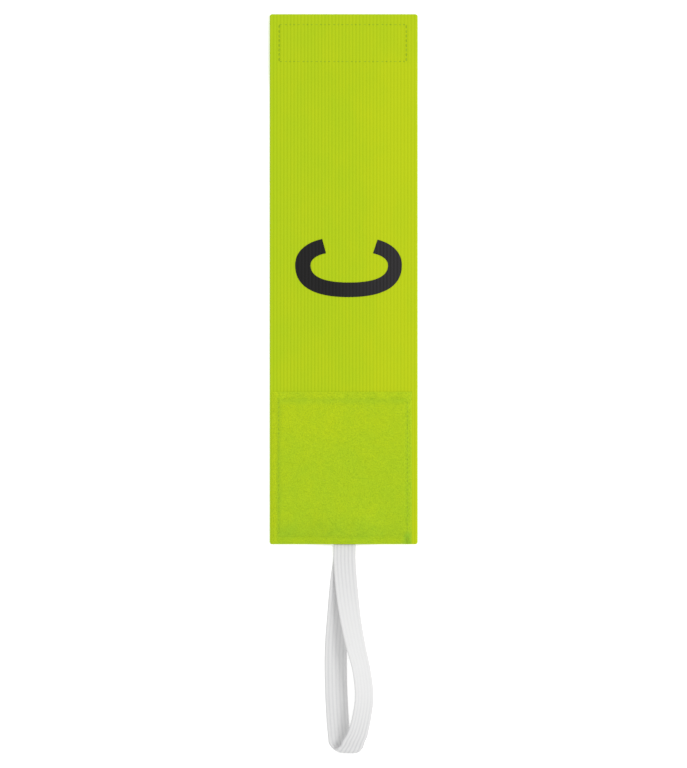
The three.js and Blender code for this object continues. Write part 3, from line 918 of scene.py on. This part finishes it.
def seam_sides(low, high, z, row_z):
    """The two sides of a seam that run with the ribs, and the two rows across them, short of the corners."""
    short = STITCH_PITCH / 2
    return [
        ((low.x, low.y + short, z), (low.x, high.y - short, z)),
        ((high.x, low.y + short, z), (high.x, high.y - short, z)),
        ((low.x + short, low.y, row_z), (high.x - short, low.y, row_z)),
        ((low.x + short, high.y, row_z), (high.x - short, high.y, row_z)),
    ]


TAPE_SEAM_FROM_LEFT = 3.2 * MM
TAPE_SEAM_FROM_RIGHT = 3.1 * MM
TAPE_SEAM_FROM_TOP = 2.75 * MM
TAPE_SEAM_FROM_BOTTOM = 2.3 * MM
tape_seam_low = Vector((tape_low.x + TAPE_SEAM_FROM_LEFT, tape_low.y + TAPE_SEAM_FROM_BOTTOM))
tape_seam_high = Vector((tape_high.x - TAPE_SEAM_FROM_RIGHT, tape_high.y - TAPE_SEAM_FROM_TOP))

seam_bed = patch_seat + PATCH_THICKNESS - SEAM_DEPTH - PILE_SEAM_SINK
sew("patch_seam_face", seam_sides(patch_seam_low, patch_seam_high, seam_bed, seam_bed), 1)
sew(
    "patch_seam_run_off",
    [
        (
            (patch_seam_high.x, patch_seam_low.y - STITCH_PITCH, seam_bed),
            (patch_seam_high.x, patch_low.y + RUN_OFF_INSET, patch_seat + PATCH_BORDER_THICKNESS / 2),
        )
    ],
    1,
)
cross_rib_bed = BAND_THICKNESS - CROSS_RIB_SINK
sew("tape_seam_face", seam_sides(tape_seam_low, tape_seam_high, BAND_THICKNESS, cross_rib_bed), 1)
sew("tape_seam_back", seam_sides(tape_seam_low, tape_seam_high, ground_low, ground_low), -1, draped=False)

# Behind the patch the row crosses the lower tail of the elastic, and lies on the band's back on both sides
tail_left = ELASTIC_MIDDLE - ELASTIC_WIDTH / 2
tail_right = ELASTIC_MIDDLE + ELASTIC_WIDTH / 2
back_z = THREAD_RADIUS + (STITCH_RISE - STITCH_SINK) / 2
*back_sides, back_bottom, back_top = seam_sides(patch_seam_low, patch_seam_high, back_z, back_z)
beside_tail = [
    (back_bottom[0], (tail_left - STITCH_PITCH / 2, patch_seam_low.y, back_z)),
    ((tail_right + STITCH_PITCH / 2, patch_seam_low.y, back_z), back_bottom[1]),
]
over_tail = [
    ((tail_left + TAIL_INSET, patch_seam_low.y, back_z), (tail_right - TAIL_INSET, patch_seam_low.y, back_z))
]
sew("patch_seam_back", back_sides + [back_top] + beside_tail, -1)
sew("patch_seam_over_tail", over_tail, -1, draped=False)


# The loop: one length of narrow white elastic, six covered rubber cords wide, folded back on itself with both
# tails sewn behind the band. The upper leg stands off the floor and leans, and the lower leg lies flat.
LOOP_SWING = 10.7 * MM
LOOP_HEIGHT = 13 * MM
LOOP_TURN_RADIUS = 3.2 * MM
UPPER_LEG = [
    {"drop": 0.0, "side": 0.0, "rise": 0.0, "lean": 0, "relief": 0.5},
    {"drop": 0.08, "side": 0.0, "rise": 0.02, "lean": 0, "relief": 0.6},
    {"drop": 0.2, "side": 0.09, "rise": 0.16, "lean": 2, "relief": 0.35},
    {"drop": 0.34, "side": 0.27, "rise": 0.42, "lean": 18, "relief": 0.2},
    {"drop": 0.48, "side": 0.55, "rise": 0.75, "lean": 28, "relief": 0.15},
    {"drop": 0.6, "side": 0.85, "rise": 0.96, "lean": 37, "relief": 0.15},
    {"drop": 0.72, "side": 0.985, "rise": 0.99, "lean": 34, "relief": 0.2},
    {"drop": 0.82, "side": 0.86, "rise": 0.88, "lean": 30, "relief": 0.4},
    {"drop": 0.9, "side": 0.65, "rise": 0.68, "lean": 23, "relief": 0.6},
    {"drop": 0.94, "side": 0.465, "rise": 0.57, "lean": 12, "relief": 0.7},
]
LOWER_LEG = [
    {"drop": 0.94, "side": -0.24},
    {"drop": 0.89, "side": -0.31},
    {"drop": 0.8, "side": -0.38},
    {"drop": 0.66, "side": -0.44},
    {"drop": 0.5, "side": -0.44},
    {"drop": 0.34, "side": -0.32},
    {"drop": 0.18, "side": -0.17},
    {"drop": 0.07, "side": -0.02},
    {"drop": 0.0, "side": 0.0},
]
TURN_SIDE_UPPER = 0.35
TURN_SIDE_LOWER = -0.12
TURN_LEAN = 6
TURN_LEVEL_BY = 0.33
TURN_ROWS = 6
TURN_ROUND_LEFT = 2.0 * MM
TURN_ROUND_RIGHT = 1.5 * MM
TURN_TILT = 0.4 * MM
TURN_RELIEF = 0.7
LOWER_LEG_RELIEF = 0.45
STEPS_PER_ROW = 8
LOOP_CORDS = 6
POINTS_PER_CORD = 5
CORD_GROOVE = 0.22
CORD_FULLNESS = 0.6
BRAID_PITCH_MM = 0.7
SMOOTHING_PASSES = 4
STRIP_SHOULDER = 0.985
STRIP_EDGE_FULLNESS = 0.5


def covered_elastic():
    """White polyester yarn braided over rubber cords: matt, with slanting yarns and painted grey shade in the
    grooves.
    """
    material, tree, shader = new_material("braided_white_elastic", 0.8, 0.15)
    strip = add_node(tree, "ShaderNodeUVMap", uv_map="strip")
    place = add_node(tree, "ShaderNodeSeparateXYZ", {"Vector": strip}).outputs
    crest = crests(tree, place["X"], pi * LOOP_CORDS, "SINE")
    relief = add_node(tree, "ShaderNodeAttribute", attribute_name="relief").outputs["Fac"]
    valley = add_node(tree, "ShaderNodeMath", {0: 1.0, 1: crest}, operation="SUBTRACT")
    shade = add_node(tree, "ShaderNodeMath", {0: valley, 1: relief}, operation="MULTIPLY", use_clamp=True)
    slant = add_node(tree, "ShaderNodeMath", {0: crest, 1: 1.8}, operation="MULTIPLY")
    row = add_node(
        tree,
        "ShaderNodeMath",
        {0: place["Y"], 1: 2 * pi / BRAID_PITCH_MM, 2: slant},
        operation="MULTIPLY_ADD",
    )
    yarn = add_node(tree, "ShaderNodeMath", {0: row}, operation="SINE")
    bump = add_node(tree, "ShaderNodeBump", {"Height": yarn, "Strength": 0.45, "Distance": 0.06 * MM})
    # Painted shade: the grooves between the cords are painted grey, more where a row's relief is set higher
    colour = add_node(
        tree, "ShaderNodeMix", {"Factor": shade, 6: linear("#dedede"), 7: linear("#c4c4c6")}, data_type="RGBA"
    ).outputs[2]
    link_surface(tree, shader, colour, bump)
    return material


def loop_rows():
    """The strip's middle line, lean and depth of relief, from the upper tail round to the lower tail. The
    relief also sets how dark the grooves' painted shade is.
    """
    drop_length = band_low.y - loop_low.y
    lower_level = ELASTIC_THICKNESS / 2
    upper_level = lower_level + ELASTIC_THICKNESS + LAYER_GAP
    turn_y = loop_low.y + ELASTIC_THICKNESS / 2 + LOOP_TURN_RADIUS

    def spot(side, y, z):
        return Vector((ELASTIC_MIDDLE + side * LOOP_SWING, y, z))

    rows = [(spot(0, loop_high.y, upper_level), 0, 1)]
    for row in UPPER_LEG:
        z = upper_level + (LOOP_HEIGHT - upper_level) * row["rise"]
        y = band_low.y - row["drop"] * drop_length
        rows.append((spot(row["side"], y, z), row["lean"], row["relief"]))
    for k in range(TURN_ROWS + 1):
        share = k / TURN_ROWS
        side = TURN_SIDE_UPPER + (TURN_SIDE_LOWER - TURN_SIDE_UPPER) * share
        z = lower_level + LOOP_TURN_RADIUS * (1 + cos(share * pi))
        y = turn_y - LOOP_TURN_RADIUS * sin(share * pi)
        rows.append((spot(side, y, z), TURN_LEAN * max(0, 1 - share / TURN_LEVEL_BY), TURN_RELIEF))
    for row in LOWER_LEG:
        y = band_low.y - row["drop"] * drop_length
        rows.append((spot(row["side"], y, lower_level), 0, LOWER_LEG_RELIEF))
    rows.append((spot(0, loop_high.y, lower_level), 0, LOWER_LEG_RELIEF))
    return rows


def smooth_point(p0, p1, p2, p3, share):
    """A point of the centripetal Catmull-Rom curve between p1 and p2."""
    k1 = sqrt((p1 - p0).length)
    k2 = k1 + sqrt((p2 - p1).length)
    k3 = k2 + sqrt((p3 - p2).length)
    t = k1 + (k2 - k1) * share
    a1 = p0.lerp(p1, t / k1)
    a2 = p1.lerp(p2, (t - k1) / (k2 - k1))
    a3 = p2.lerp(p3, (t - k2) / (k3 - k2))
    return a1.lerp(a2, t / k2).lerp(a2.lerp(a3, (t - k1) / (k3 - k1)), (t - k1) / (k2 - k1))


def at_each_step(values):
    """One value for each row, spread evenly over the steps from row to row and smoothed."""
    pairs = list(zip(values, values[1:]))
    spread = [a + (b - a) * step / STEPS_PER_ROW for a, b in pairs for step in range(STEPS_PER_ROW)]
    spread.append(values[-1])
    for _ in range(SMOOTHING_PASSES):
        before, after = spread[:1] + spread[:-1], spread[1:] + spread[-1:]
        spread = [(a + b + c) / 3 for a, b, c in zip(before, spread, after)]
    return spread


def strip_sections(rows):
    """Middle, half-width vector, upward unit vector and relief of the strip at each step along it."""
    line = [spot for spot, lean, relief in rows]
    spots = [line[0] * 2 - line[1]] + line + [line[-1] * 2 - line[-2]]
    middles = []
    for k in range(len(rows) - 1):
        for step in range(STEPS_PER_ROW):
            middles.append(smooth_point(*spots[k : k + 4], step / STEPS_PER_ROW))
    middles.append(line[-1])
    leans = at_each_step([lean for spot, lean, relief in rows])
    reliefs = at_each_step([relief for spot, lean, relief in rows])

    sections = []
    for k, middle in enumerate(middles):
        middle.z = max(middle.z, ELASTIC_THICKNESS / 2)
        tangent = (middles[min(k + 1, len(middles) - 1)] - middles[max(k - 1, 0)]).normalized()
        level = Vector((1, 0, 0)) - tangent * tangent.x
        squareness = level.length
        level.normalize()
        outwards = tangent.cross(level)
        lean = radians(leans[k])
        across = level * cos(lean) - outwards * sin(lean) + tangent * (tangent.x / squareness)
        normal = outwards * cos(lean) + level * sin(lean)
        sections.append((middle, across * (ELASTIC_WIDTH / 2), normal, reliefs[k]))
    return sections


def strip_outline():
    """Round the strip's section: share of the half width, of the half thickness, and depth in a groove."""
    count = LOOP_CORDS * POINTS_PER_CORD
    outline = []
    for side in (1, -1):
        for k in range(count + 1):
            groove = 1 - abs(sin(pi * LOOP_CORDS * k / count)) ** CORD_FULLNESS
            fullness = STRIP_EDGE_FULLNESS if k in (0, count) else 1
            outline.append((side * STRIP_SHOULDER * (2 * k / count - 1), side * fullness, groove))
        outline.append((side, 0, 0))
    return outline


def turn_shift(middle, u):
    """How far the strip's corners are drawn in at the far turn, and how far its bend lies askew."""
    reach = (middle.y - loop_low.y) / LOOP_TURN_RADIUS
    near_turn = max(0, 1 - reach / 2) ** 2
    corner = (TURN_ROUND_RIGHT if u > 0 else TURN_ROUND_LEFT) * u**4
    return near_turn * (corner - TURN_TILT * u)


loop_elastic = covered_elastic()
sections = strip_sections(loop_rows())
outline = strip_outline()
loop_vertices = []
for middle, half_width, normal, relief in sections:
    for u, face, groove in outline:
        half_thickness = (1 - CORD_GROOVE * relief * groove) * ELASTIC_THICKNESS / 2
        point = middle + half_width * u + normal * (face * half_thickness)
        point.y += turn_shift(middle, u)
        loop_vertices.append(point)
ring = len(outline)
loop_faces = [tuple(range(ring)), tuple(reversed(range(ring * (len(sections) - 1), ring * len(sections))))]
for k in range(len(sections) - 1):
    for i in range(ring):
        j = (i + 1) % ring
        loop_faces.append((k * ring + i, (k + 1) * ring + i, (k + 1) * ring + j, k * ring + j))
loop = new_piece("white_loop", loop_vertices, faces=loop_faces)

# The strip's own map: across it from 0 to 1, and along it in millimetres
lengths = [0.0]
for (a, *_), (b, *_) in zip(sections, sections[1:]):
    lengths.append(lengths[-1] + (b - a).length / MM)
strip_map = loop.data.uv_layers.new(name="strip")
for corner, vertex in enumerate(v for polygon in loop.data.polygons for v in polygon.vertices):
    strip_map.data[corner].uv = ((1 + outline[vertex % ring][0]) / 2, lengths[vertex // ring])
relief_map = loop.data.attributes.new("relief", "FLOAT", "POINT")
for vertex in range(len(loop_vertices)):
    relief_map.data[vertex].value = sections[vertex // ring][3]
loop.data.materials.append(loop_elastic)
loop.data.shade_smooth()
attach(loop, "root")
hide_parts("elastic_loop")


# The letter: a captain's C printed across the band in thick charcoal ink, which follows the ribs and fills
# more than half of the grooves between them.
LETTER_STROKE = 7.9 * MM
LETTER_COUNTER_SHIFT = 0.4 * MM
LETTER_BACK_DEPTH = 13.2 * MM
LETTER_BACK_FULLNESS = 0.66
LETTER_HORN_RADIUS_X = 18.9 * MM
LETTER_HORN_RADIUS_Y = 11.1 * MM
LETTER_HORN_FULLNESS = 0.91
LETTER_OUTER_SWEEP = (71, 67)
LETTER_COUNTER_SWEEP = (66, 65)
INK_THICKNESS = 0.12 * MM
INK_FILL = 0.6
OUTLINE_STEPS = 24
CUT_TOLERANCE = 1e-7

letter_low, letter_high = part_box("captain_letter")


def printed_ink():
    """Rubbery screen-print ink: nearly black, a dull sheen, a fine orange-peel grain, and painted highlights
    towards +X and on the rib crests.
    """
    material, tree, shader = new_material("charcoal_print_ink", 0.6, 0.2)
    here = add_node(tree, "ShaderNodeTexCoord").outputs["Object"]
    grain = add_node(tree, "ShaderNodeTexNoise", {"Vector": here, "Scale": 1 / (0.4 * MM), "Detail": 4})
    bump = add_node(tree, "ShaderNodeBump", {"Height": grain, "Strength": 0.5, "Distance": 0.05 * MM})
    patches = add_node(tree, "ShaderNodeTexNoise", {"Vector": here, "Scale": 1 / (6 * MM), "Detail": 4})
    place = add_node(tree, "ShaderNodeSeparateXYZ", {"Vector": here}).outputs
    # Painted highlight: the ink is painted lighter towards +X and on the rib crests
    painted_light_mask = add_node(
        tree, "ShaderNodeMapRange", {"Value": place["X"], 1: -8 * MM, 2: letter_high.x, 3: -0.1, 4: 0.9}
    )
    crest = crests(tree, place["X"], pi / RIB_PITCH, "COSINE")
    painted_crest_highlight = add_node(tree, "ShaderNodeMapRange", {"Value": crest, 1: 0.2, 2: 1.0, 3: 0.35, 4: 1.3})
    painted_ink_highlight = add_node(tree, "ShaderNodeMath", {0: painted_light_mask, 1: painted_crest_highlight}, operation="MULTIPLY")
    grey_and_painted_ink_highlight = add_node(
        tree, "ShaderNodeMath", {0: patches, 1: 0.2, 2: painted_ink_highlight}, operation="MULTIPLY_ADD", use_clamp=True
    )
    colour = add_node(
        tree,
        "ShaderNodeMix",
        {"Factor": grey_and_painted_ink_highlight, 6: linear("#100f0f"), 7: linear("#272527")},
        data_type="RGBA",
    ).outputs[2]
    link_surface(tree, shader, colour, bump)
    return material


half_span = (letter_high.x - letter_low.x - LETTER_STROKE) / 2


def horn(side, grow, sweep):
    """One horn, from the back up to its tip, on an ellipse whose shoulder is filled out."""
    centre = half_span - LETTER_HORN_RADIUS_X
    angles = [radians(sweep * k / OUTLINE_STEPS) for k in range(OUTLINE_STEPS + 1)]
    out = [(LETTER_HORN_RADIUS_X + grow) * cos(a) ** LETTER_HORN_FULLNESS for a in angles]
    up = [(LETTER_HORN_RADIUS_Y + grow) * sin(a) ** LETTER_HORN_FULLNESS for a in angles]
    return [Vector((side * (centre + x), y)) for x, y in zip(out, up)]


def letter_edge(grow, sweep):
    """One edge of the stroke, from the left horn round the back to the right one."""
    x, y = half_span + grow, LETTER_BACK_DEPTH + grow
    handle_x, handle_y = x * LETTER_BACK_FULLNESS, y * LETTER_BACK_FULLNESS
    left_back = [Vector(p) for p in ((-x, 0), (-x, -handle_y), (-handle_x, -y), (0, -y))]
    right_back = [Vector(p) for p in ((0, -y), (handle_x, -y), (x, -handle_y), (x, 0))]
    edge = list(reversed(horn(-1, grow, sweep[0])))
    edge += [p.to_2d() for p in geometry.interpolate_bezier(*left_back, OUTLINE_STEPS)][1:]
    edge += [p.to_2d() for p in geometry.interpolate_bezier(*right_back, OUTLINE_STEPS)][1:]
    return edge + horn(1, grow, sweep[1])[1:]


def ink_height(x):
    crest = abs(cos(pi * x / RIB_PITCH)) ** RIB_FULLNESS
    dip = FACE_GROOVE_SHARE * (1 - crest) * BAND_THICKNESS / 2
    return BAND_THICKNESS - dip * (1 - INK_FILL)


letter_middle_y = letter_low.y + LETTER_BACK_DEPTH + LETTER_STROKE / 2
letter_middle = Vector(((letter_low.x + letter_high.x) / 2, letter_middle_y))
counter_shift = Vector((LETTER_COUNTER_SHIFT, 0))
letter_outline = letter_edge(LETTER_STROKE / 2, LETTER_OUTER_SWEEP)
letter_outline += [p + counter_shift for p in reversed(letter_edge(-LETTER_STROKE / 2, LETTER_COUNTER_SWEEP))]
print_mesh = bmesh.new()
corners = [print_mesh.verts.new((*(p + letter_middle), 0)) for p in letter_outline]
print_mesh.faces.new(corners)
cut_step = RIB_PITCH / POINTS_PER_RIB
for k in range(ceil(letter_low.x / cut_step), int(letter_high.x / cut_step) + 1):
    whole = print_mesh.verts[:] + print_mesh.edges[:] + print_mesh.faces[:]
    cut = {"plane_co": (k * cut_step, 0, 0), "plane_no": (1, 0, 0)}
    bmesh.ops.bisect_plane(print_mesh, geom=whole, dist=CUT_TOLERANCE, **cut)
for vertex in print_mesh.verts:
    vertex.co.z = ink_height(vertex.co.x)
raised = bmesh.ops.extrude_face_region(print_mesh, geom=print_mesh.faces[:], use_keep_orig=True)
skin = [v for v in raised["geom"] if isinstance(v, bmesh.types.BMVert)]
bmesh.ops.translate(print_mesh, vec=(0, 0, INK_THICKNESS), verts=skin)
bmesh.ops.recalc_face_normals(print_mesh, faces=print_mesh.faces[:])
letter = new_piece("printed_letter", [])
print_mesh.to_mesh(letter.data)
print_mesh.free()
letter.data.materials.append(printed_ink())
letter.data.shade_smooth()
letter.data.set_sharp_from_angle(angle=radians(50))
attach(letter, "root")
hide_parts("captain_letter")
